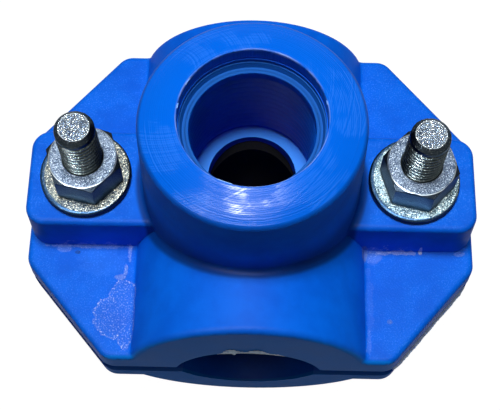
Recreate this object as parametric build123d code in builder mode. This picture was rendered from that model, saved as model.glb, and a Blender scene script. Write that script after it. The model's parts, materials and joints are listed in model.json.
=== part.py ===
from build123d import *
import os
from math import radians, sqrt, tan

# Tapping saddle: a two-piece moulded clamp that straps round a plastic pipe and gives it a
# threaded outlet. Millimetres and degrees. The origin is where the axis of the pipe seat in
# the upper half crosses the axis of the outlet: X runs from bolt to bolt, Y along the pipe,
# +Z up the outlet. The nuts are run down past the pipe's size, so the bore is a flat lens.

# ---- Pipe and bore ----
pipe_diameter = 32.0
bore_squeeze = 0.4          # the moulded bore is this much smaller in radius than the pipe
clamping_gap = 3.4          # between the parting faces of the two halves
upper_parting = 4.7         # height of the upper parting face above the upper bore's axis
lower_parting = 7.45        # depth of the lower parting face below the lower bore's axis

# ---- Flanges and barrels of both halves ----
saddle_length = 71.0        # along the pipe, at the parting faces
end_width = 59.0            # straight front and back edges of the flange
saddle_width = 94.4         # from side to side, across the bolts
side_length = 29.6          # straight side edges of the flange, beside the bolts
outline_radius = 4.0        # corners of the flange in plan
upper_flange_thickness = 5.6
lower_flange_thickness = 4.3
mould_draft = 2.0
upper_edge_radius = 1.4     # rounding of the moulded outer edges
lower_edge_radius = 0.8
crease_radius = 1.0         # where the upper barrel rises from its flange
upper_barrel_radius = 25.0
upper_barrel_rise = 3.2     # centre of the upper barrel above the bore's axis
lower_barrel_radius = 28.0
lower_wall = 7.6            # plastic below the lowest line of the bore

# ---- Bolt pads, both on one bar across each half ----
pad_width = 93.4            # from the outer end of one pad to the outer end of the other
pad_depth = 22.2            # along the pipe
pad_height = 11.2           # above the upper flange
pad_corner_radius = 4.5
pad_edge_radius = 1.2

# ---- Outlet boss ----
boss_radius = 21.6          # at the rim
boss_draft = 1.5
boss_foot_radius = 1.2
rim_height = 26.0           # outer edge of the rim above the bolt pads
rim_edge_radius = 1.2
crown_rise = 2.4            # how far the rim's face swells up towards the mouth
crown_bulge = 0.35          # how far its profile bows out of a straight cone
mouth_radius = 14.05
mouth_edge_radius = 0.3
mouth_depth = 3.3           # from the crown to the first of two fine steps
step_width = 0.2
step_depth = 0.9
throat_depth = 1.2          # from the second step to the ledge above the thread
throat_taper = 0.4          # how far the throat closes in on the way
thread_bore_radius = 12.64  # pitch radius of a 3/4 inch parallel pipe thread
thread_depth = 23.4         # from the ledge down to the shoulder
outlet_hole_radius = 9.1
outlet_hole_shift = 0.9     # the hole's core stands this far off the outlet's axis, towards +Y

# ---- Outlet seal: a rubber ring in a round recess under the outlet hole, open to the bore ----
seal_inner_radius = 10.2
seal_outer_radius = 13.6
seal_stand_proud = 0.9      # how far the ring stands out of the bore towards the pipe
seal_web = 1.8              # plastic between the seal's recess and the shoulder of the thread bore
seal_clearance = 0.1

# ---- M8 bolts, nuts and washers ----
bolt_spacing = 67.4
bolt_radius = 4.0
bolt_length = 50.0          # under the head
thread_radius = 3.6         # pitch radius of the threaded end
thread_length = 28.0
bolt_end_chamfer = 0.5
bolt_hole_play = 0.5
across_flats = 13.5         # of the nuts and the bolt heads
head_height = 5.3
nut_height = 7.5
nut_thread_play = 0.06
hex_chamfer_angle = 30.0
hex_chamfer_share = 0.98    # chamfer circle over the width across flats
countersink_depth = 0.6
nut_turn = 17.0             # where a corner of each nut points, from -Y towards +X
washer_radius = 9.35
washer_hole_radius = 4.6
washer_thickness = 1.9
washer_edge_radius = 0.55
washer_slack = 0.4          # each washer lies this far off its bolt's axis, towards -X
head_seat_thickness = 7.6   # plastic between a bolt's head and the lower parting face
pocket_play = 0.2           # round a bolt's head, in its hexagonal pocket

# ---- Worked out from the sizes above ----
bore_radius = pipe_diameter / 2 - bore_squeeze
flange_top = upper_parting + upper_flange_thickness
barrel_crest = upper_barrel_rise + upper_barrel_radius
pad_top = flange_top + pad_height
washer_top = pad_top + washer_thickness
rim_z = pad_top + rim_height
crown_z = rim_z + crown_rise
step_1_z = crown_z - mouth_depth
step_2_z = step_1_z - step_depth
ledge_z = step_2_z - throat_depth
shoulder_z = ledge_z - thread_depth
lower_top = upper_parting - clamping_gap
lower_axis_z = lower_top + lower_parting
base_z = lower_axis_z - bore_radius - lower_wall
head_seat_z = lower_top - head_seat_thickness
bolt_x = bolt_spacing / 2
bolt_places = ((-bolt_x, 0), (bolt_x, 0))
seal_floor_radius = shoulder_z - seal_web
past_end = saddle_length    # cuts of this half-length run out past both end faces

# Upper parting face, looking up, and lower parting face, looking down
upward = Plane.XY.offset(upper_parting)
downward = Plane(origin=(0, 0, lower_top), x_dir=(1, 0, 0), z_dir=(0, 0, -1))


def bolt_bar(root, height):
    """The bar that carries both bolt pads: drafted off the root plane, its far edges rounded."""
    with BuildPart() as bar:
        with BuildSketch(root):
            RectangleRounded(pad_width, pad_depth, pad_corner_radius)
        extrude(amount=height, taper=mould_draft)
        fillet(bar.faces().filter_by(root).sort_by(SortBy.AREA)[0].edges(), pad_edge_radius)
    return bar.part


def along_barrel(edges, barrel_radius):
    """Those of the edges that run along the pipe where a barrel meets its flange."""
    return edges.filter_by(Axis.Y).filter_by(lambda edge: abs(edge.center().X) < barrel_radius)


def chamfered_hexagon(height, both_ends):
    """A hexagon that stands on the XY plane, a corner on +X, its ends turned to a cone."""
    corner = across_flats / sqrt(3)
    circle = across_flats / 2 * hex_chamfer_share
    drop = (corner - circle) * tan(radians(hex_chamfer_angle))
    with BuildPart() as hexagon:
        with BuildSketch():
            RegularPolygon(corner, 6)
        extrude(amount=height)
        with BuildSketch(Plane.XZ):
            with BuildLine():
                foot = (circle, 0) if both_ends else (corner, 0)
                shank_side = (corner, drop) if both_ends else (corner, height / 2)
                far_side = (corner, height - drop)
                Polyline((0, 0), foot, shank_side, far_side, (circle, height), (0, height), close=True)
            make_face()
        revolve(axis=Axis.Z, mode=Mode.INTERSECT)
    return hexagon.part


def disc_in_bore(radius, bore_side_radius, floor_radius):
    """A disc on the outlet's axis, bent to the bore: between two cylinders along the pipe."""
    with BuildPart() as disc:
        with BuildSketch():
            Circle(radius)
        extrude(amount=floor_radius)
        with BuildSketch(Plane.XZ):
            Circle(floor_radius)
            Circle(bore_side_radius, mode=Mode.SUBTRACT)
        extrude(amount=past_end, both=True, mode=Mode.INTERSECT)
    return disc.part


# Plan of both flanges: a rectangle whose corners are cut off towards the bolts
with BuildSketch() as flange_plan:
    Polygon(
        (end_width / 2, saddle_length / 2),
        (-end_width / 2, saddle_length / 2),
        (-saddle_width / 2, side_length / 2),
        (-saddle_width / 2, -side_length / 2),
        (-end_width / 2, -saddle_length / 2),
        (end_width / 2, -saddle_length / 2),
        (saddle_width / 2, -side_length / 2),
        (saddle_width / 2, side_length / 2),
        align=None,
    )
    fillet(flange_plan.vertices(), outline_radius)

upper_bar = bolt_bar(upward, pad_top - upper_parting)
lower_bar = bolt_bar(downward, lower_top - base_z)
seal_face_radius = bore_radius - seal_stand_proud
seal_recess = disc_in_bore(seal_outer_radius + seal_clearance, seal_face_radius, seal_floor_radius)

# ---- Upper half: flange, barrel, bolt pads and outlet boss in one moulding ----
with BuildPart() as upper_body:
    # Flange and barrel, trimmed together by the drafted plan
    with BuildSketch(upward):
        add(flange_plan.sketch)
    extrude(amount=upper_flange_thickness)
    with BuildSketch(Plane.XZ):
        with Locations((0, upper_barrel_rise)):
            Circle(upper_barrel_radius)
        with Locations((0, upper_parting)):
            Rectangle(saddle_width, saddle_width, align=(Align.CENTER, Align.MAX), mode=Mode.SUBTRACT)
    extrude(amount=past_end, both=True)
    with BuildSketch(upward):
        add(flange_plan.sketch)
    extrude(amount=barrel_crest, taper=mould_draft, mode=Mode.INTERSECT)

    # A fillet in the two creases along the barrel, then the rounded outer edges
    clear_of_parting = upper_parting + upper_edge_radius
    raised = upper_body.edges().filter_by(lambda edge: edge.bounding_box().min.Z > clear_of_parting)
    fillet(along_barrel(raised, upper_barrel_radius), crease_radius)
    raised = upper_body.edges().filter_by(lambda edge: edge.bounding_box().min.Z > clear_of_parting)
    fillet(raised - along_barrel(raised, upper_barrel_radius), upper_edge_radius)
    add(upper_bar)

    # Outlet boss, drafted, with a crowned rim
    with BuildSketch(Plane.XZ):
        foot_radius = boss_radius + (rim_z - upper_parting) * tan(radians(boss_draft))
        bulge = ((boss_radius + mouth_radius) / 2 + crown_bulge, (rim_z + crown_z) / 2 + crown_bulge)
        with BuildLine():
            Polyline((0, crown_z), (0, upper_parting), (foot_radius, upper_parting), (boss_radius, rim_z))
            ThreePointArc((boss_radius, rim_z), bulge, (mouth_radius, crown_z))
            Line((mouth_radius, crown_z), (0, crown_z))
        make_face()
    revolve(axis=Axis.Z)
    boss_wall = upper_body.faces().filter_by(GeomType.CONE).sort_by(SortBy.AREA)[-1]
    fillet(boss_wall.edges().filter_by(lambda edge: edge.center().Z > barrel_crest), rim_edge_radius)
    boss_wall = upper_body.faces().filter_by(GeomType.CONE).sort_by(SortBy.AREA)[-1]
    fillet(boss_wall.edges().filter_by(lambda edge: edge.center().Z <= barrel_crest), boss_foot_radius)

    # Bore for the pipe, and the seal's recess
    with BuildSketch(Plane.XZ):
        Circle(bore_radius)
    extrude(amount=past_end, both=True, mode=Mode.SUBTRACT)
    add(seal_recess, mode=Mode.SUBTRACT)

    # Inside of the boss: mouth, two fine steps, throat, ledge and thread bore, then the outlet hole
    with BuildSketch(Plane.XZ):
        with BuildLine():
            Polyline(
                (0, crown_z + crown_rise),
                (mouth_radius, crown_z + crown_rise),
                (mouth_radius, step_1_z),
                (mouth_radius - step_width, step_1_z),
                (mouth_radius - step_width, step_2_z),
                (mouth_radius - 2 * step_width, step_2_z),
                (mouth_radius - 2 * step_width - throat_taper, ledge_z),
                (thread_bore_radius, ledge_z),
                (thread_bore_radius, shoulder_z),
                (0, shoulder_z),
                close=True,
            )
        make_face()
    revolve(axis=Axis.Z, mode=Mode.SUBTRACT)
    with BuildSketch(Plane.XY.offset(shoulder_z)):
        with Locations((0, outlet_hole_shift)):
            Circle(outlet_hole_radius)
    extrude(amount=-shoulder_z, mode=Mode.SUBTRACT)
    circles = upper_body.edges().filter_by(GeomType.CIRCLE)
    fillet(circles.filter_by_position(Axis.Z, crown_z - 0.01, crown_z + 0.01), mouth_edge_radius)

    # Bolt holes
    with Locations(*[(x, y, pad_top) for x, y in bolt_places]):
        Hole(bolt_radius + bolt_hole_play)

# ---- Lower half: flange, shallow barrel and the bar that holds the bolt heads ----
with BuildPart() as lower_body:
    with BuildSketch(downward):
        add(flange_plan.sketch)
    extrude(amount=lower_flange_thickness)
    with BuildSketch(Plane.XZ):
        with Locations((0, base_z + lower_barrel_radius)):
            Circle(lower_barrel_radius)
        with Locations((0, lower_top)):
            Rectangle(saddle_width, saddle_width, align=(Align.CENTER, Align.MIN), mode=Mode.SUBTRACT)
    extrude(amount=past_end, both=True)
    with BuildSketch(downward):
        add(flange_plan.sketch)
    extrude(amount=lower_top - base_z, taper=mould_draft, mode=Mode.INTERSECT)
    lowered = lower_body.edges().filter_by(lambda edge: edge.bounding_box().max.Z < lower_top - lower_edge_radius)
    fillet(lowered - along_barrel(lowered, lower_barrel_radius), lower_edge_radius)
    add(lower_bar)

    # Bore, bolt holes and the hexagonal pockets for the bolt heads
    with BuildSketch(Plane.XZ):
        with Locations((0, lower_axis_z)):
            Circle(bore_radius)
    extrude(amount=past_end, both=True, mode=Mode.SUBTRACT)
    with Locations(*[(x, y, lower_top) for x, y in bolt_places]):
        Hole(bolt_radius + bolt_hole_play)
    with BuildSketch(Plane.XY.offset(base_z)):
        with Locations(*bolt_places):
            RegularPolygon(across_flats / sqrt(3) + pocket_play, 6)
    extrude(amount=head_seat_z - base_z, mode=Mode.SUBTRACT)

# ---- Seal round the outlet hole ----
with BuildPart() as outlet_seal:
    add(disc_in_bore(seal_outer_radius, seal_face_radius, seal_floor_radius - seal_clearance))
    with BuildSketch():
        Circle(seal_inner_radius)
    extrude(amount=shoulder_z, mode=Mode.SUBTRACT)

# ---- Bolt, drawn with the underside of its head on the XY plane ----
with BuildPart() as bolt:
    with BuildSketch(Plane.XZ):
        with BuildLine():
            Polyline(
                (0, 0),
                (bolt_radius, 0),
                (bolt_radius, bolt_length - thread_length),
                (thread_radius, bolt_length - thread_length + bolt_radius - thread_radius),
                (thread_radius, bolt_length - bolt_end_chamfer),
                (thread_radius - bolt_end_chamfer, bolt_length),
                (0, bolt_length),
                close=True,
            )
        make_face()
    revolve(axis=Axis.Z)
    add(chamfered_hexagon(head_height, both_ends=False).rotate(Axis.X, 180))

# ---- Nut, drawn standing on the XY plane ----
with BuildPart() as nut:
    add(chamfered_hexagon(nut_height, both_ends=True).rotate(Axis.Z, nut_turn - 90))
    Hole(thread_radius + nut_thread_play)
    chamfer(nut.edges().filter_by(GeomType.CIRCLE).sort_by(SortBy.RADIUS)[:2], countersink_depth)

# ---- Washer, drawn lying on the XY plane ----
with BuildPart() as washer:
    with BuildSketch():
        Circle(washer_radius)
        Circle(washer_hole_radius, mode=Mode.SUBTRACT)
    extrude(amount=washer_thickness)
    fillet(washer.edges().filter_by(GeomType.CIRCLE).sort_by(SortBy.RADIUS)[-2:], washer_edge_radius)

# ---- Write every piece in its place ----
pieces = {
    "upper_body": upper_body.part,
    "lower_body": lower_body.part,
    "outlet_seal": outlet_seal.part,
}
for side, x in (("left", -bolt_x), ("right", bolt_x)):
    pieces["bolt_" + side] = bolt.part.moved(Location((x, 0, head_seat_z)))
    pieces["washer_" + side] = washer.part.moved(Location((x - washer_slack, 0, pad_top)))
    pieces["nut_" + side] = nut.part.moved(Location((x, 0, washer_top)))

os.makedirs("parts", exist_ok=True)
for name, piece in pieces.items():
    piece.label = name
    export_step(piece, "parts/" + name + ".step")
    box = piece.bounding_box()
    print(name, "solids", len(piece.solids()), "valid", piece.is_valid, "low", box.min, "high", box.max)
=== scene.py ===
import json
from math import cos, exp, pi, radians, sin, tan

import bmesh
import bpy
from mathutils import Matrix, Quaternion, Vector, noise


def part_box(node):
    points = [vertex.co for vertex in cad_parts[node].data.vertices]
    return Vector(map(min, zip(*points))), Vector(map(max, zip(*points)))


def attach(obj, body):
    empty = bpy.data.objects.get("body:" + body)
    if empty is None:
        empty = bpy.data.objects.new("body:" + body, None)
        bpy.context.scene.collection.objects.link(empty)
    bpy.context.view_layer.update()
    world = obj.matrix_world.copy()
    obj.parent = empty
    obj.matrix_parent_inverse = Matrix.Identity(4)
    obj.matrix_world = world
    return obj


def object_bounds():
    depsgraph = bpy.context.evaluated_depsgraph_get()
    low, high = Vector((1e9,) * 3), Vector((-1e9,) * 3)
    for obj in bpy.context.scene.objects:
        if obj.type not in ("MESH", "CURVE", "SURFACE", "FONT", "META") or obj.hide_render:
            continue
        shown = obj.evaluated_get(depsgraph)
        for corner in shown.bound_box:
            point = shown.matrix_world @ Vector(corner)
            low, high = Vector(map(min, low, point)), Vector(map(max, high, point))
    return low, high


# Looks of a tapping saddle: a two-piece blue polypropylene clamp for a plastic pipe, its boss
# threaded for an outlet, its halves drawn together by two zinc plated bolts. Metres. The CAD
# pieces keep their form and get their finishes here; the thread forms, the torn flash on the
# bore, the burrs of the mouth and the fin on the parting edge are made here and ride with the
# CAD bodies.

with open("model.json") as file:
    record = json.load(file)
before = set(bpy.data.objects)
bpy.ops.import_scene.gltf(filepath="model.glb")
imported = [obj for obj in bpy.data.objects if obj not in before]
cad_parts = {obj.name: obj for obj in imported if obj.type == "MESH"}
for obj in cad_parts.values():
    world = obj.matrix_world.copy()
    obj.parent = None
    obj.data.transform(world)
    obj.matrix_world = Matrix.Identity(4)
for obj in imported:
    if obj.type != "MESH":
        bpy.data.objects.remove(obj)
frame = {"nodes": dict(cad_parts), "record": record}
cad_low, cad_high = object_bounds()
nodes = frame["nodes"]
MM = 0.001
SIDES = ("left", "right")

# ---------------------------------------------------------------- places, from the frame
mounts = {mount["name"]: mount for mount in frame["record"]["mounts"]}
outlet = mounts["outlet_thread"]
LEDGE_Z = outlet["pos_m"][2]                        # top of the outlet's thread
THREAD_WALL = outlet["dims"]["r_mm"] * MM           # pitch radius, the wall of the CAD bore
SHOULDER_Z = LEDGE_Z - outlet["dims"]["length_mm"] * MM
CROWN_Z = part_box("upper_body")[1].z                 # highest line of the rim
PARTING_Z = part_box("upper_body")[0].z               # parting face of the upper half
LOWER_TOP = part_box("lower_body")[1].z               # parting face of the lower half
FLANGE_TOP = PARTING_Z + 5.6 * MM                   # the upper flange is 5.6 mm thick
PAD_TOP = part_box("washer_left")[0].z
WASHER_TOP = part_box("washer_left")[1].z
NUT_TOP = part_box("nut_left")[1].z
BOLT_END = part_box("bolt_left")[1].z
BOLT_X = {side: (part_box("bolt_" + side)[0].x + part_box("bolt_" + side)[1].x) / 2 for side in SIDES}
FRONT_Y = cad_low.y                                 # front end faces, at their parting edges
BORE_RADIUS = 15.6 * MM                             # each half's seat for the pipe
LOWER_AXIS_Z = LOWER_TOP + 7.45 * MM                # axis of the lower half's seat
MOUTH_RADIUS = 14.05 * MM
BOSS_RADIUS = 21.6 * MM                             # at the rim
BOSS_FOOT_RADIUS = 23.0 * MM
BARREL_FOOT = 24.3 * MM                             # half width of the upper barrel at its flange
MOULD_DRAFT = radians(2.0)
BOLT_PITCH = 1.25 * MM                              # M8
BOLT_THREAD_LENGTH = 28.0 * MM
OUTLET_PITCH = 25.4 / 14 * MM                       # 3/4 inch parallel, 14 to the inch


# ---------------------------------------------------------------- node helpers
def new_group(name, inputs, outputs):
    """An empty shader node group with named sockets, and its input and output nodes."""
    tree = bpy.data.node_groups.new(name, "ShaderNodeTree")
    kinds = {"value": "NodeSocketFloat", "vector": "NodeSocketVector", "color": "NodeSocketColor"}
    for socket, kind, default in inputs:
        made = tree.interface.new_socket(socket, in_out="INPUT", socket_type=kinds[kind])
        if default is not None:
            made.default_value = default
    for socket, kind in outputs:
        tree.interface.new_socket(socket, in_out="OUTPUT", socket_type=kinds[kind])
    return tree, tree.nodes.new("NodeGroupInput"), tree.nodes.new("NodeGroupOutput")


def feed(tree, socket, value):
    """Gives a socket a link, a number, a vector or a colour."""
    if isinstance(value, bpy.types.NodeSocket):
        tree.links.new(value, socket)
    elif value is not None:
        socket.default_value = value


def calc(tree, operation, a, b=None, c=None):
    node = tree.nodes.new("ShaderNodeMath")
    node.operation = operation
    for socket, value in zip(node.inputs, (a, b, c)):
        feed(tree, socket, value)
    return node.outputs[0]


def product(tree, first, *others):
    for other in others:
        first = calc(tree, "MULTIPLY", first, other)
    return first


def smooth_step(tree, value, low, high):
    """0 at low and 1 at high, with a smooth rise between; low may be the greater."""
    node = tree.nodes.new("ShaderNodeMapRange")
    node.interpolation_type = "SMOOTHSTEP"
    feed(tree, node.inputs["Value"], value)
    if low < high:
        ends = (low, high, 0.0, 1.0)
    else:
        ends = (high, low, 1.0, 0.0)
    for name, end in zip(("From Min", "From Max", "To Min", "To Max"), ends):
        node.inputs[name].default_value = end
    return node.outputs["Result"]


def band(tree, value, low, high, soft):
    """1 between low and high, and 0 outside them."""
    rise = smooth_step(tree, value, low - soft, low + soft)
    return product(tree, rise, smooth_step(tree, value, high + soft, high - soft))


def mix_color(tree, share, a, b):
    node = tree.nodes.new("ShaderNodeMix")
    node.data_type = "RGBA"
    feed(tree, node.inputs[0], share)
    feed(tree, node.inputs[6], a)
    feed(tree, node.inputs[7], b)
    return node.outputs[2]


def mix_value(tree, share, a, b):
    node = tree.nodes.new("ShaderNodeMix")
    feed(tree, node.inputs[0], share)
    feed(tree, node.inputs[2], a)
    feed(tree, node.inputs[3], b)
    return node.outputs[0]


def noise_texture(tree, vector, scale, detail=2.0, roughness=0.5):
    node = tree.nodes.new("ShaderNodeTexNoise")
    feed(tree, node.inputs["Vector"], vector)
    feed(tree, node.inputs["Scale"], scale)
    feed(tree, node.inputs["Detail"], detail)
    feed(tree, node.inputs["Roughness"], roughness)
    return node.outputs["Fac"]


def noise_line(tree, value, scale, detail=3.0):
    """Noise along one number, such as rings along a radius."""
    node = tree.nodes.new("ShaderNodeTexNoise")
    node.noise_dimensions = "1D"
    feed(tree, node.inputs["W"], value)
    node.inputs["Scale"].default_value = scale
    node.inputs["Detail"].default_value = detail
    return node.outputs["Fac"]


def parts_of(tree, vector):
    node = tree.nodes.new("ShaderNodeSeparateXYZ")
    feed(tree, node.inputs[0], vector)
    return node.outputs


def object_coordinates(tree):
    return tree.nodes.new("ShaderNodeTexCoord").outputs["Object"]


def bump(tree, height, distance, strength):
    node = tree.nodes.new("ShaderNodeBump")
    feed(tree, node.inputs["Height"], height)
    node.inputs["Distance"].default_value = distance
    node.inputs["Strength"].default_value = strength
    return node.outputs["Normal"]


def distance_from(tree, a, b, a_at=0.0, b_at=0.0):
    """Distance, in the plane of two coordinates, from a point."""
    a = calc(tree, "SUBTRACT", a, a_at)
    b = calc(tree, "SUBTRACT", b, b_at)
    return calc(tree, "SQRT", calc(tree, "ADD", product(tree, a, a), product(tree, b, b)))


def use_group(tree, group, **values):
    """Places a node group; a name's underscores stand for the spaces in its socket."""
    node = tree.nodes.new("ShaderNodeGroup")
    node.node_tree = group
    for name, value in values.items():
        feed(tree, node.inputs[name.replace("_", " ")], value)
    return node.outputs


# ---------------------------------------------------------------- shared effects
def grain_group():
    """The fine grain of a moulded surface, its raised specks, and soft mottling at a wider scale."""
    tree, given, out = new_group(
        "fine_grain",
        [("Vector", "vector", None), ("Grain Size", "value", 2200.0), ("Mottle Size", "value", 140.0)],
        [("Grain", "value"), ("Specks", "value"), ("Mottle", "value")],
    )
    grain = noise_texture(tree, given.outputs["Vector"], given.outputs["Grain Size"], 2.0, 0.6)
    mottle = noise_texture(tree, given.outputs["Vector"], given.outputs["Mottle Size"], 4.0, 0.6)
    tree.links.new(grain, out.inputs["Grain"])
    tree.links.new(smooth_step(tree, grain, 0.53, 0.68), out.inputs["Specks"])
    tree.links.new(mottle, out.inputs["Mottle"])
    return tree


def worn_group():
    """How far a place lies from the middle of a worn patch: 1 on its ragged border."""
    tree, given, out = new_group(
        "worn_patch",
        [
            ("Vector", "vector", None),
            ("Middle", "vector", (0.0, 0.0, 0.0)),
            ("Reach", "vector", (0.01, 0.01, 0.01)),
            ("Raggedness", "value", 0.5),
        ],
        [("Share", "value")],
    )
    offset = tree.nodes.new("ShaderNodeVectorMath")
    offset.operation = "SUBTRACT"
    feed(tree, offset.inputs[0], given.outputs["Vector"])
    feed(tree, offset.inputs[1], given.outputs["Middle"])
    share = tree.nodes.new("ShaderNodeVectorMath")
    share.operation = "DIVIDE"
    feed(tree, share.inputs[0], offset.outputs[0])
    feed(tree, share.inputs[1], given.outputs["Reach"])
    length = tree.nodes.new("ShaderNodeVectorMath")
    length.operation = "LENGTH"
    feed(tree, length.inputs[0], share.outputs[0])
    ragged = noise_texture(tree, given.outputs["Vector"], 420.0, 5.0, 0.7)
    ragged = product(tree, calc(tree, "SUBTRACT", ragged, 0.5), given.outputs["Raggedness"])
    tree.links.new(calc(tree, "MULTIPLY_ADD", ragged, 3.0, length.outputs["Value"]), out.inputs["Share"])
    return tree


def plating_group():
    """Zinc plating: fine crystals of a light and a dark tone with bright specks, and a painted shade tone
    where Shade lies.
    """
    tree, given, out = new_group(
        "zinc_plating",
        [
            ("Vector", "vector", None),
            ("Light Tone", "color", (0.4, 0.5, 0.55, 1.0)),
            ("Dark Tone", "color", (0.1, 0.14, 0.18, 1.0)),
            ("Speck Tone", "color", (0.9, 0.92, 0.9, 1.0)),
            ("Shaded Tone", "color", (0.05, 0.08, 0.12, 1.0)),
            ("Shade", "value", 0.0),
        ],
        [("Color", "color"), ("Grain", "value")],
    )
    vector = given.outputs["Vector"]
    grain = noise_texture(tree, vector, 4000.0, 2.0, 0.6)
    drift = noise_texture(tree, vector, 330.0, 3.0, 0.6)
    level = calc(tree, "MULTIPLY_ADD", calc(tree, "SUBTRACT", drift, 0.5), 0.5, grain)
    plain = mix_color(
        tree, smooth_step(tree, level, 0.38, 0.62), given.outputs["Dark Tone"], given.outputs["Light Tone"]
    )
    specks = smooth_step(tree, noise_texture(tree, vector, 4800.0, 1.0, 0.5), 0.58, 0.68)
    plain = mix_color(tree, specks, plain, given.outputs["Speck Tone"])
    # A few crystals still glint through the painted shade
    shade = product(tree, given.outputs["Shade"], calc(tree, "MULTIPLY_ADD", specks, -0.12, 1.0))
    color = mix_color(tree, shade, plain, given.outputs["Shaded Tone"])
    tree.links.new(color, out.inputs["Color"])
    tree.links.new(grain, out.inputs["Grain"])
    return tree


GRAIN = grain_group()
WORN = worn_group()
PLATING = plating_group()


# ---------------------------------------------------------------- materials
def new_material(name):
    material = bpy.data.materials.new(name)
    material.use_nodes = True
    tree = material.node_tree
    return material, tree, tree.nodes["Principled BSDF"]


# Blue polypropylene, what wear makes of it, and the painted shade, light and reflection laid on it
DEEP_BLUE = (0.0, 0.095, 0.61, 1)
MID_BLUE = (0.0, 0.122, 0.71, 1)
RIM_BLUE = (0.0, 0.122, 0.71, 1)
SPECK_BLUE = (0.04, 0.23, 0.92, 1)
# Painted shade for the rim's rounded edge, the steps in the mouth, the crease at the boss's foot and deep
# in the bore; painted light for the shoulder; a painted reflection for the end faces
RIM_EDGE_SHADE_BLUE = (0.0, 0.055, 0.33, 1)
STEP_SHADE_BLUE = (0.008, 0.1, 0.4, 1)
SHOULDER_LIT_BLUE = (0.045, 0.25, 0.85, 1)
END_REFLECTION_BLUE = (0.0, 0.23, 0.74, 1)
CREASE_SHADE_BLUE = (0.0, 0.018, 0.12, 1)
BORE_PAINTED_SHADE = (0.0015, 0.0025, 0.02, 1)
PALE = (0.24, 0.36, 0.78, 1)
WHITENED = (0.6, 0.68, 0.84, 1)
GREYED = (0.14, 0.2, 0.42, 1)
DIRT = (0.01, 0.02, 0.06, 1)

# Zinc: light crystals, dark crystals and bright specks
BOLT_TONES = ((0.13, 0.175, 0.23, 1), (0.018, 0.03, 0.055, 1), (0.7, 0.74, 0.68, 1))
NUT_TONES = ((0.075, 0.1, 0.14, 1), (0.02, 0.032, 0.055, 1), (0.28, 0.33, 0.38, 1))
STRAW_TONES = ((0.085, 0.1, 0.1, 1), (0.01, 0.016, 0.024, 1), (0.46, 0.44, 0.34, 1))
PALE_TONES = ((0.14, 0.21, 0.24, 1), (0.016, 0.032, 0.046, 1), (0.55, 0.64, 0.62, 1))
# Painted shade and painted highlights on the zinc: near black in the bolts' thread roots, dark on their
# crests and lips, on the nuts' sides and chamfers and on the washers' edges; bright on a ring at the bolts'
# lips and on the nuts' top arris
ROOT_SHADE = (0.002, 0.004, 0.007, 1)
CREST_SHADE = (0.034, 0.044, 0.045, 1)
LIP_SHADE = (0.014, 0.02, 0.026, 1)
LIP_HIGHLIGHT = (0.5, 0.56, 0.6, 1)
NUT_SIDE_SHADE = (0.03, 0.055, 0.105, 1)
NUT_FOOT_SHADE = (0.003, 0.005, 0.009, 1)
NUT_CHAMFER_SHADE = (0.01, 0.015, 0.022, 1)
NUT_ARRIS_HIGHLIGHT = (0.4, 0.46, 0.5, 1)
WASHER_EDGE_SHADE = (0.01, 0.028, 0.06, 1)
EDGE_ON = (0.48, 0.53, 0.6, 1)                      # zinc seen nearly edge on

# Scales of the noise on the plastic, in features to the metre
PLASTIC_GRAIN = 3000.0
PLASTIC_MOTTLE = 140.0
TURNED_RINGS = 3600.0
CUTTER_CHATTER = 2600.0

# Worn places on the upper flange, in millimetres: middle, reach, raggedness, tone and strength
WEAR = (
    ((-39.3, -11.7), (2.0, 1.2), 0.3, PALE, 0.45),
    ((-36.5, -12.6), (0.8, 0.5), 0.5, DIRT, 1.0),
    ((23.8, -11.2), (0.9, 3.0), 0.5, GREYED, 0.9),
    ((25.9, -12.2), (2.0, 2.2), 0.4, PALE, 0.4),
    ((30.4, -11.3), (4.4, 0.55), 1.1, WHITENED, 0.5),
    ((35.8, -11.1), (0.5, 0.6), 0.3, WHITENED, 1.0),
    ((43.9, -11.3), (1.3, 0.7), 0.6, PALE, 0.5),
    ((29.0, -26.5), (0.7, 0.6), 0.3, GREYED, 0.6),
    ((24.7, -31.2), (0.8, 3.0), 0.9, PALE, 0.25),
    ((24.9, -22.0), (1.0, 8.0), 0.9, PALE, 0.1),
    ((-33.5, -11.2), (8.5, 0.5), 1.3, WHITENED, 0.25),
    ((-25.4, -13.0), (0.45, 2.4), 1.1, WHITENED, 0.3),
    ((-26.0, -16.0), (0.5, 1.6), 1.1, WHITENED, 0.35),
    ((-27.2, -17.9), (1.2, 0.6), 1.0, WHITENED, 0.3),
    ((-31.0, -14.5), (6.6, 3.6), 0.5, SPECK_BLUE, 0.3),
)
# The large scuff beside the barrel is three ovals run together
SCUFF = (((-28.2, -26.6), (3.9, 4.4)), ((-25.3, -27.0), (2.0, 6.4)), ((-26.1, -21.6), (2.9, 2.8)))


def worn_share(tree, place, middle, reach, raggedness):
    """The share of a patch on the flange's top, which reaches a little down over the flange's edges."""
    (x, y), (wide, long) = middle, reach
    return use_group(
        tree,
        WORN,
        Vector=place,
        Middle=(x * MM, y * MM, FLANGE_TOP),
        Reach=(wide * MM, long * MM, 3.0 * MM),
        Raggedness=raggedness,
    )["Share"]


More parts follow.
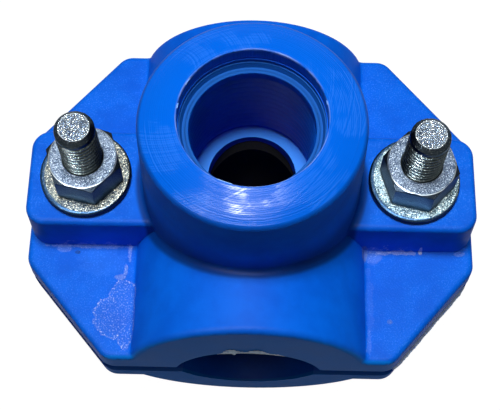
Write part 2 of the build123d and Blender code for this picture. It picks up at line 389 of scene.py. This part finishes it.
def with_wear(tree, place, color, specks):
    """The upper flange's scuffs, whitened streaks and specks of dirt."""
    speckled = calc(tree, "MULTIPLY_ADD", specks, 0.7, 0.45)
    for middle, reach, raggedness, tone, strength in WEAR:
        share = worn_share(tree, place, middle, reach, raggedness)
        worn = product(tree, smooth_step(tree, share, 1.0, 0.7), speckled, strength)
        color = mix_color(tree, worn, color, tone)
    shares = [worn_share(tree, place, middle, reach, 0.35) for middle, reach in SCUFF]
    share = calc(tree, "MINIMUM", calc(tree, "MINIMUM", shares[0], shares[1]), shares[2])
    inside = smooth_step(tree, share, 1.02, 0.96)
    inside = product(tree, inside, calc(tree, "MULTIPLY_ADD", specks, 0.65, 0.05))
    border = band(tree, share, 0.9, 1.0, 0.05)
    border = product(tree, border, calc(tree, "MULTIPLY_ADD", specks, 0.75, 0.08))
    color = mix_color(tree, inside, color, PALE)
    return mix_color(tree, border, color, WHITENED)


def saddle_plastic(name, upper):
    """Moulded blue polypropylene; the upper half has its turned rim, its seat and the marks of handling,
    and painted shade and light in and round its mouth; both halves have painted shade deep in the bore and
    a painted reflection on their end faces.
    """
    material, tree, shader = new_material(name)
    place = object_coordinates(tree)
    x, y, z = parts_of(tree, place)
    grain, specks, mottle = use_group(
        tree, GRAIN, Vector=place, Grain_Size=PLASTIC_GRAIN, Mottle_Size=PLASTIC_MOTTLE
    )
    color = mix_color(tree, smooth_step(tree, mottle, 0.3, 0.7), DEEP_BLUE, MID_BLUE)
    height = grain
    rough = calc(tree, "MULTIPLY_ADD", mottle, 0.12, 0.44)
    if upper:
        # Coarser, speckled skin on the flange and the bolt pads
        outside = smooth_step(tree, calc(tree, "ABSOLUTE", x), BARREL_FOOT - 0.4 * MM, BARREL_FOOT)
        near = 0.3 * MM
        levels = (band(tree, z, top - near, top + near, 0.2 * MM) for top in (FLANGE_TOP, PAD_TOP))
        flat = product(tree, calc(tree, "ADD", *levels), outside)
        drift = smooth_step(tree, mottle, 0.35, 0.62)
        spotted = product(tree, flat, specks, calc(tree, "MULTIPLY_ADD", drift, 0.35, 0.12))
        color = mix_color(tree, spotted, color, SPECK_BLUE)
        color = with_wear(tree, place, color, specks)
        height = calc(tree, "MULTIPLY", height, calc(tree, "MULTIPLY_ADD", flat, 1.4, 1.0))

        # Turned rim: rings round the outlet, crossed by chatter from the cutter
        radius = distance_from(tree, x, y)
        near_top = smooth_step(tree, z, CROWN_Z - 3.0 * MM, CROWN_Z - 2.4 * MM)
        on_rim = product(tree, near_top, smooth_step(tree, radius, BOSS_RADIUS, BOSS_RADIUS - 0.8 * MM))
        rings = noise_line(tree, calc(tree, "MULTIPLY_ADD", mottle, 0.5 * MM, radius), TURNED_RINGS)
        chatter = noise_line(tree, distance_from(tree, x, y, -16.0 * MM, 9.0 * MM), CUTTER_CHATTER)
        patchy = smooth_step(tree, noise_texture(tree, place, 110.0, 2.0), 0.42, 0.6)
        turned = calc(tree, "MULTIPLY_ADD", product(tree, chatter, patchy), 0.8, rings)
        color = mix_color(tree, product(tree, on_rim, 0.8), color, RIM_BLUE)
        streaks = product(tree, on_rim, smooth_step(tree, turned, 0.72, 1.05), 0.3)
        color = mix_color(tree, streaks, color, SPECK_BLUE)
        height = mix_value(tree, on_rim, height, calc(tree, "MULTIPLY", turned, 3.0))
        rough = mix_value(tree, on_rim, rough, 0.2)
        # Where the cutter left it smoothest the rim shines in broken streaks
        shiny = smooth_step(tree, distance_from(tree, x, y, 0.5 * MM, -18.8 * MM), 12.5 * MM, 1.0 * MM)
        gloss = calc(tree, "MULTIPLY_ADD", smooth_step(tree, turned, 0.62, 1.0), 0.5, 0.02)
        tree.links.new(product(tree, on_rim, shiny, gloss), shader.inputs["Coat Weight"])
        shader.inputs["Coat Roughness"].default_value = 0.24

        # Painted shade on the rounded outer edge of the rim, and a painted highlight, broken by noise,
        # along the arris of the mouth
        edge = product(tree, near_top, band(tree, radius, 21.0 * MM, 22.0 * MM, 0.3 * MM))
        color = mix_color(tree, product(tree, edge, 0.6), color, RIM_EDGE_SHADE_BLUE)
        arris = band(tree, radius, MOUTH_RADIUS - 0.1 * MM, MOUTH_RADIUS + 0.22 * MM, 0.1 * MM)
        arris = product(tree, arris, smooth_step(tree, z, CROWN_Z - 0.9 * MM, CROWN_Z - 0.5 * MM))
        arris = product(tree, arris, smooth_step(tree, noise_texture(tree, place, 240.0, 3.0), 0.3, 0.7))
        color = mix_color(tree, product(tree, arris, 0.75), color, PALE)

        # Painted shade on the steps and ledge inside the mouth, painted light on the shoulder at the foot
        # of the thread, and painted shade in the crease at the boss's foot
        steps = product(
            tree,
            band(tree, z, LEDGE_Z - 0.1 * MM, CROWN_Z - 3.4 * MM, 0.1 * MM),
            smooth_step(tree, radius, MOUTH_RADIUS + 0.2 * MM, MOUTH_RADIUS),
        )
        color = mix_color(tree, product(tree, steps, 0.9), color, STEP_SHADE_BLUE)
        lit_shoulder = product(
            tree,
            band(tree, z, SHOULDER_Z - 0.2 * MM, SHOULDER_Z + 0.2 * MM, 0.2 * MM),
            smooth_step(tree, radius, THREAD_WALL, THREAD_WALL - 0.4 * MM),
        )
        color = mix_color(tree, lit_shoulder, color, SHOULDER_LIT_BLUE)
        crease_shade = product(
            tree,
            smooth_step(tree, z, 35.0 * MM, 26.0 * MM),
            band(tree, radius, BOSS_RADIUS + 0.2 * MM, BOSS_FOOT_RADIUS + 0.9 * MM, 0.5 * MM),
        )
        color = mix_color(tree, product(tree, crease_shade, 0.75), color, CREASE_SHADE_BLUE)
        bore_axis_z = 0.0
    else:
        bore_axis_z = LOWER_AXIS_Z

    # Painted reflection on the end faces: a lighter, greener blue
    end_reflection = smooth_step(tree, calc(tree, "ABSOLUTE", y), 34.5 * MM, 34.9 * MM)
    color = mix_color(tree, product(tree, end_reflection, 0.5), color, END_REFLECTION_BLUE)

    # Painted shade deep inside the bore, darkest away from its ends
    from_axis = distance_from(tree, x, z, 0.0, bore_axis_z)
    in_bore = smooth_step(tree, from_axis, BORE_RADIUS + 0.2 * MM, BORE_RADIUS)
    deep = smooth_step(tree, calc(tree, "ABSOLUTE", y), 34.5 * MM, 25.0 * MM)
    color = mix_color(tree, product(tree, in_bore, deep, 0.95), color, BORE_PAINTED_SHADE)
    tree.links.new(color, shader.inputs["Base Color"])
    tree.links.new(rough, shader.inputs["Roughness"])
    tree.links.new(bump(tree, height, 0.04 * MM, 0.7), shader.inputs["Normal"])
    shader.inputs["Specular IOR Level"].default_value = 0.03 if upper else 0.01
    return material


def zinc(name, tones, roughness, shading):
    """Zinc plated steel; shading gives the tone of the painted shade and where it lies."""
    material, tree, shader = new_material(name)
    light, dark, speck = tones
    place = object_coordinates(tree)
    shaded_tone, shade = shading(tree, *parts_of(tree, place))
    color, grain = use_group(
        tree,
        PLATING,
        Vector=place,
        Light_Tone=light,
        Dark_Tone=dark,
        Speck_Tone=speck,
        Shaded_Tone=shaded_tone,
        Shade=shade,
    )
    tree.links.new(color, shader.inputs["Base Color"])
    tree.links.new(calc(tree, "MULTIPLY_ADD", grain, 0.2, roughness - 0.1), shader.inputs["Roughness"])
    tree.links.new(bump(tree, grain, 0.08 * MM, 0.8), shader.inputs["Normal"])
    shader.inputs["Metallic"].default_value = 1.0
    shader.inputs["Specular Tint"].default_value = EDGE_ON
    return material


def bolt_shading(tree, x, y, z):
    """Painted shade: near black in the thread's roots, dark on the crests, the sides and the lip's chamfer,
    with a painted highlight on a thin ring at the lip; only the end face keeps the plain plating.
    """
    radius = distance_from(tree, calc(tree, "ABSOLUTE", x), y, BOLT_X["right"])
    crest = smooth_step(tree, radius, 3.7 * MM, 3.95 * MM)
    tone = mix_color(tree, crest, ROOT_SHADE, CREST_SHADE)
    lip = smooth_step(tree, z, BOLT_END - 1.1 * MM, BOLT_END - 0.8 * MM)
    tone = mix_color(tree, lip, tone, LIP_SHADE)
    ring = product(tree, lip, band(tree, radius, 2.86 * MM, 2.98 * MM, 0.06 * MM))
    tone = mix_color(tree, ring, tone, LIP_HIGHLIGHT)
    below = smooth_step(tree, z, BOLT_END - 0.1 * MM, BOLT_END - 0.4 * MM)
    return tone, calc(tree, "MAXIMUM", below, smooth_step(tree, radius, 2.76 * MM, 2.84 * MM))


def nut_shading(tree, x, y, z):
    """Painted shade on a nut's chamfers and sides, darkest at the washer, and a painted highlight on the
    arris of its top.
    """
    low = smooth_step(tree, z, WASHER_TOP + 2.4 * MM, WASHER_TOP + 0.8 * MM)
    tone = mix_color(tree, low, NUT_SIDE_SHADE, NUT_FOOT_SHADE)
    chamfer = smooth_step(tree, z, NUT_TOP - 1.3 * MM, NUT_TOP - 0.8 * MM)
    tone = mix_color(tree, chamfer, tone, NUT_CHAMFER_SHADE)
    arris = band(tree, z, NUT_TOP - 0.14 * MM, NUT_TOP - 0.04 * MM, 0.03 * MM)
    tone = mix_color(tree, product(tree, arris, 0.8), tone, NUT_ARRIS_HIGHLIGHT)
    return tone, smooth_step(tree, z, NUT_TOP - 0.02 * MM, NUT_TOP - 0.1 * MM)


def washer_shading(tree, x, y, z):
    """Painted shade on the washers' rounded edges, tinted blue as a painted reflection of the plastic."""
    radius = distance_from(tree, calc(tree, "ABSOLUTE", x), y, BOLT_X["right"])
    low = smooth_step(tree, z, WASHER_TOP - 0.1 * MM, WASHER_TOP - 0.4 * MM)
    outer = smooth_step(tree, radius, 8.6 * MM, 8.9 * MM)
    return WASHER_EDGE_SHADE, calc(tree, "MAXIMUM", low, outer)


def seal_rubber():
    material, tree, shader = new_material("seal_rubber")
    place = object_coordinates(tree)
    skin = use_group(tree, GRAIN, Vector=place, Grain_Size=1500.0, Mottle_Size=200.0)
    color = mix_color(tree, skin["Mottle"], (0.006, 0.006, 0.007, 1), (0.016, 0.016, 0.018, 1))
    tree.links.new(color, shader.inputs["Base Color"])
    tree.links.new(calc(tree, "MULTIPLY_ADD", skin["Grain"], 0.2, 0.5), shader.inputs["Roughness"])
    tree.links.new(bump(tree, skin["Grain"], 0.03 * MM, 0.5), shader.inputs["Normal"])
    shader.inputs["Specular IOR Level"].default_value = 0.3
    return material


def torn_plastic(name, deep, pale):
    """Torn, stress-whitened plastic."""
    material, tree, shader = new_material(name)
    place = object_coordinates(tree)
    skin = use_group(tree, GRAIN, Vector=place, Grain_Size=1700.0, Mottle_Size=600.0)
    color = mix_color(tree, smooth_step(tree, skin["Mottle"], 0.3, 0.56), deep, pale)
    tree.links.new(color, shader.inputs["Base Color"])
    tree.links.new(bump(tree, skin["Grain"], 0.1 * MM, 0.8), shader.inputs["Normal"])
    shader.inputs["Roughness"].default_value = 0.6
    return material


upper_blue = saddle_plastic("saddle_blue_upper", True)
lower_blue = saddle_plastic("saddle_blue_lower", False)
bolt_zinc = zinc("bolt_zinc", BOLT_TONES, 0.2, bolt_shading)
nut_zinc = zinc("nut_zinc", NUT_TONES, 0.32, nut_shading)
straw_zinc = zinc("washer_zinc_straw", STRAW_TONES, 0.3, washer_shading)
pale_zinc = zinc("washer_zinc_pale", PALE_TONES, 0.32, washer_shading)
rubber = seal_rubber()
whitened = torn_plastic("whitened_plastic", (0.03, 0.12, 0.34, 1), (0.42, 0.6, 0.8, 1))
stretched = torn_plastic("stretched_plastic", (0.01, 0.18, 0.8, 1), (0.2, 0.48, 0.95, 1))

FINISH = {
    "upper_body": upper_blue,
    "lower_body": lower_blue,
    "outlet_seal": rubber,
    "bolt_left": bolt_zinc,
    "bolt_right": bolt_zinc,
    "nut_left": nut_zinc,
    "nut_right": nut_zinc,
    "washer_left": straw_zinc,
    "washer_right": pale_zinc,
}
for node, material in FINISH.items():
    nodes[node].data.materials.clear()
    nodes[node].data.materials.append(material)


# ---------------------------------------------------------------- new pieces
def piece_from(bm, name, material, body, sharp=35):
    """Makes a bmesh an object of the saddle that rides on a body; edges over the sharp angle stay sharp."""
    bmesh.ops.recalc_face_normals(bm, faces=bm.faces)
    for edge in bm.edges:
        edge.smooth = not (len(edge.link_faces) == 2 and edge.calc_face_angle() > radians(sharp))
    mesh = bpy.data.meshes.new(name)
    bm.to_mesh(mesh)
    bm.free()
    mesh.materials.append(material)
    for face in mesh.polygons:
        face.use_smooth = True
    piece = bpy.data.objects.new(name, mesh)
    bpy.context.scene.collection.objects.link(piece)
    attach(piece, body)
    return piece


def loop(bm, points):
    """A closed loop of edges through the points."""
    made = [bm.verts.new(point) for point in points]
    edges = [bm.edges.new(pair) for pair in zip(made, made[1:] + made[:1])]
    return made + edges


def turned_ring(bm, profile, axis_at, steps):
    """Turns a closed profile of radii and heights about a vertical axis."""
    line = loop(bm, [axis_at + Vector((radius, 0, height)) for radius, height in profile])
    bmesh.ops.spin(bm, geom=line, cent=axis_at, axis=(0, 0, 1), angle=2 * pi, steps=steps, use_merge=True)


def helix(bm, profile, axis_at, pitch, turns, steps_per_turn):
    """Sweeps a closed profile of radii and heights up a helix, a pitch each turn, and closes its ends."""
    line = loop(bm, [axis_at + Vector((radius, 0, height)) for radius, height in profile])
    swept = bmesh.ops.spin(
        bm,
        geom=line,
        cent=axis_at,
        axis=(0, 0, 1),
        dvec=(0, 0, pitch / steps_per_turn),
        angle=2 * pi * turns,
        steps=round(turns * steps_per_turn),
        use_merge=False,
    )
    for end in (line, swept["geom_last"]):
        edges = [part for part in end if isinstance(part, bmesh.types.BMEdge)]
        bmesh.ops.contextual_create(bm, geom=edges)


def outlet_thread():
    """Plain land under the ledge, then the crests of the outlet's thread."""
    pitch = OUTLET_PITCH
    crest = THREAD_WALL - 0.58 * MM
    buried = THREAD_WALL + 0.1 * MM
    land = 2.0 * MM
    bm = bmesh.new()
    land_profile = [
        (buried, 0),
        (crest + 0.12 * MM, 0),
        (crest, -0.12 * MM),
        (crest, -land),
        (buried, -land - 0.35 * MM),
    ]
    turned_ring(bm, land_profile, Vector((0, 0, LEDGE_Z)), 96)
    low = SHOULDER_Z + 0.5 * MM
    turns = (LEDGE_Z - land - low - pitch) / pitch
    tooth = [(buried, 0), (crest, 0.36 * pitch), (crest, 0.5 * pitch), (buried, 0.86 * pitch)]
    helix(bm, tooth, Vector((0, 0, low)), pitch, turns, 72)
    return piece_from(bm, "outlet_thread_crests", upper_blue, "upper_half", 20)


def bolt_thread(side):
    """The crests of the bolt's thread, and above them its plain collar with a chamfered lip."""
    pitch = BOLT_PITCH
    core = 3.55 * MM
    crest = 4.0 * MM
    collar = 1.7 * MM
    axis_at = Vector((BOLT_X[side], 0, 0))
    bm = bmesh.new()
    lip = [
        (2.85 * MM, -0.05 * MM),
        (2.95 * MM, 0.07 * MM),
        (3.12 * MM, 0.07 * MM),
        (3.86 * MM, -0.75 * MM),
        (3.92 * MM, -0.95 * MM),
        (3.92 * MM, -collar),
        (core, -collar - 0.25 * MM),
        (3.0 * MM, -0.5 * MM),
    ]
    turned_ring(bm, lip, axis_at + Vector((0, 0, BOLT_END)), 64)
    low = BOLT_END - BOLT_THREAD_LENGTH
    turns = (BOLT_END - collar - low - pitch) / pitch
    tooth = [(core, 0.2 * pitch), (crest, 0.44 * pitch), (crest, 0.56 * pitch), (core, 0.8 * pitch)]
    helix(bm, tooth, axis_at + Vector((0, 0, low)), pitch, turns, 48)
    return piece_from(bm, "bolt_thread_" + side, bolt_zinc, "lower_half", 25)


def hill(x, middle, half_width):
    """A smooth rise to 1 at the middle."""
    return exp(-(((x - middle) / half_width) ** 2))


def ragged(place, size, layer):
    """Noise from -1 to 1 with features of about the size; each layer has its own."""
    return noise.noise(place / size + Vector((layer, 0, 0)))


def bore_flash():
    """Flash torn along the top of the bore's front edge: a thin lip, two crumpled lumps and a flake."""
    left, right = -6.4 * MM, 8.0 * MM
    face_y = FRONT_Y + (BORE_RADIUS - PARTING_Z) * tan(MOULD_DRAFT)
    bm = bmesh.new()
    bmesh.ops.create_grid(bm, x_segments=150, y_segments=8, size=0.5)
    for vert in bm.verts:
        along, across = vert.co.x + 0.5, vert.co.y + 0.5
        x = left + (right - left) * along
        fade = min(1.0, 8 * along, 8 * (1 - along))
        spot = Vector((x, 0, 0))
        lumps = max(hill(x, -3.2 * MM, 1.5 * MM), 0.85 * hill(x, 1.7 * MM, 1.7 * MM))
        flake = hill(x, -3.0 * MM, 0.35 * MM)
        above = (0.2 + 2.1 * lumps + 0.9 * abs(ragged(spot, 0.7 * MM, 3))) * fade * MM
        below = (0.15 + 0.35 * abs(ragged(spot, 0.5 * MM, 7)) + 1.1 * flake) * fade * MM
        radius = BORE_RADIUS + above - (above + below) * across
        angle = x / BORE_RADIUS
        crumple = abs(ragged(Vector((x, across * MM, 0)), 0.45 * MM, 11)) * (0.3 + lumps)
        proud = 0.05 * MM + 0.26 * MM * min(1.0, crumple) * sin(pi * across)
        vert.co = Vector((radius * sin(angle), face_y - proud, radius * cos(angle)))
    bmesh.ops.solidify(bm, geom=bm.faces, thickness=0.1 * MM)
    return piece_from(bm, "bore_flash", whitened, "upper_half", 50)


def mouth_burrs():
    """Small burrs that the turning of the rim left at the arris of the mouth."""
    # angle round the mouth, distance outside its edge, length, width and height
    burrs = (
        (210.5, 0.6, 1.7, 0.9, 0.3),
        (172.0, 0.1, 1.3, 0.5, 0.5),
        (13.0, 0.1, 1.2, 0.4, 0.4),
        (250.0, 0.05, 3.4, 0.3, 0.3),
        (262.0, 0.2, 1.6, 0.25, 0.2),
        (150.0, 0.05, 1.6, 0.25, 0.25),
    )
    bm = bmesh.new()
    for layer, (angle, outside, length, width, height) in enumerate(burrs):
        made = bmesh.ops.create_icosphere(bm, subdivisions=4, radius=0.5)["verts"]
        for vert in made:
            vert.co *= 1 + 0.35 * ragged(vert.co, 0.22, layer)
        bmesh.ops.scale(bm, verts=made, vec=Vector((width, length, height)) * MM)
        reach = MOUTH_RADIUS + outside * MM
        for vert in made:
            vert.co.x -= vert.co.y ** 2 / (2 * reach)
        top = CROWN_Z - 0.07 * MM - 0.12 * outside * MM
        bmesh.ops.translate(bm, verts=made, vec=(reach, 0, top - 0.5 * height * MM))
        bmesh.ops.rotate(bm, verts=made, matrix=Matrix.Rotation(radians(angle), 3, "Z"))
    return piece_from(bm, "mouth_burrs", stretched, "upper_half", 60)


def parting_fin():
    """A ragged fin of flash on the lower half's parting edge, along its front right diagonal."""
    start, end = Vector((30.6, -34.3, 0)) * MM, Vector((46.6, -15.6, 0)) * MM
    outward = (end - start).cross(Vector((0, 0, 1))).normalized()
    root = 0.5 * MM                                 # how far the fin reaches back under the edge
    bm = bmesh.new()
    bmesh.ops.create_grid(bm, x_segments=170, y_segments=3, size=0.5)
    for vert in bm.verts:
        along, across = vert.co.x + 0.5, vert.co.y + 0.5
        spot = start.lerp(end, along)
        fade = min(1.0, 12 * along, 12 * (1 - along))
        reach = (0.3 + 0.12 * ragged(spot, 2.4 * MM, 2) + 0.2 * abs(ragged(spot, 0.6 * MM, 5))) * fade * MM
        vert.co = spot + outward * (across * (reach + root) - root)
        vert.co.z = LOWER_TOP + 0.03 * MM * (1 + ragged(vert.co, 0.8 * MM, 9))
    bmesh.ops.solidify(bm, geom=bm.faces, thickness=0.3 * MM)
    return piece_from(bm, "parting_fin", stretched, "lower_half", 40)


outlet_thread()
for side in SIDES:
    bolt_thread(side)
bore_flash()
mouth_burrs()
parting_fin()


# ---------------------------------------------------------------- floor, light and camera
def seen_ray(tree):
    """1 for the rays that show a thing: camera, glossy and transmission rays."""
    rays = tree.nodes.new("ShaderNodeLightPath").outputs
    shown = calc(tree, "MAXIMUM", rays["Is Camera Ray"], rays["Is Glossy Ray"])
    return calc(tree, "MAXIMUM", shown, rays["Is Transmission Ray"])


def pale_floor():
    bm = bmesh.new()
    bmesh.ops.create_grid(bm, x_segments=1, y_segments=1, size=4.0)
    bmesh.ops.translate(bm, verts=bm.verts, vec=(0, 0, cad_low.z))
    mesh = bpy.data.meshes.new("floor")
    bm.to_mesh(mesh)
    bm.free()
    floor = bpy.data.objects.new("floor", mesh)
    bpy.context.scene.collection.objects.link(floor)
    material, tree, shader = new_material("pale_floor")
    lit, seen = (0.1, 0.1, 0.1, 1), (0.05, 0.05, 0.05, 1)
    feed(tree, shader.inputs["Base Color"], mix_color(tree, seen_ray(tree), lit, seen))
    shader.inputs["Roughness"].default_value = 0.9
    shader.inputs["Specular IOR Level"].default_value = 0.0
    glow = tree.nodes.new("ShaderNodeEmission")
    glow.inputs["Color"].default_value = (1, 1, 1, 1)
    feed(tree, glow.inputs["Strength"], seen_ray(tree))
    both = tree.nodes.new("ShaderNodeAddShader")
    tree.links.new(shader.outputs[0], both.inputs[0])
    tree.links.new(glow.outputs[0], both.inputs[1])
    tree.links.new(both.outputs[0], tree.nodes["Material Output"].inputs["Surface"])
    mesh.materials.append(material)


def studio_world():
    world = bpy.data.worlds.new("studio")
    world.use_nodes = True
    tree = world.node_tree
    background = tree.nodes["Background"]
    background.inputs["Color"].default_value = (1, 1, 1, 1)
    feed(tree, background.inputs["Strength"], mix_value(tree, seen_ray(tree), 0.1, 1.0))
    bpy.context.scene.world = world


def area_lamp(name, at, aim, size, power, lights_matt=True):
    """A round lamp; one that doesn't light matt surfaces only shows in gloss."""
    lamp = bpy.data.lights.new(name, "AREA")
    lamp.shape = "DISK"
    lamp.size = size
    lamp.energy = power
    holder = bpy.data.objects.new(name, lamp)
    holder.location = at
    holder.rotation_mode = "QUATERNION"
    holder.rotation_quaternion = (Vector(aim) - Vector(at)).to_track_quat("-Z", "Y")
    holder.visible_diffuse = lights_matt
    bpy.context.scene.collection.objects.link(holder)


def view_camera():
    azimuth, elevation, roll = radians(0.49), radians(66.98), radians(0.73)
    camera = bpy.data.cameras.new("camera")
    camera.sensor_width = 36.0
    camera.lens = 80.98
    camera.shift_x = -0.0056
    camera.shift_y = -0.003
    camera.clip_start = 0.01
    camera.clip_end = 20.0
    holder = bpy.data.objects.new("camera", camera)
    holder.location = Vector((1.056, -95.205, 232.976)) * MM
    back = Vector((sin(azimuth) * cos(elevation), -cos(azimuth) * cos(elevation), sin(elevation)))
    holder.rotation_mode = "QUATERNION"
    holder.rotation_quaternion = (-back).to_track_quat("-Z", "Y") @ Quaternion((0, 0, 1), roll)
    bpy.context.scene.collection.objects.link(holder)
    bpy.context.scene.camera = holder


pale_floor()
studio_world()
area_lamp("overhead", (-0.04, 0.09, 1.0), (0, 0, 0.02), 0.2, 10.6)
area_lamp("sheen", (-0.05, -0.21, 1.0), (0, 0, 0.05), 0.26, 26.0, lights_matt=False)
area_lamp("side_sheen", (-0.46, -0.45, 0.78), (0, 0, 0.03), 0.1, 18.0, lights_matt=False)
view_camera()
bpy.context.scene.view_settings.view_transform = "Standard"

bpy.context.view_layer.update()
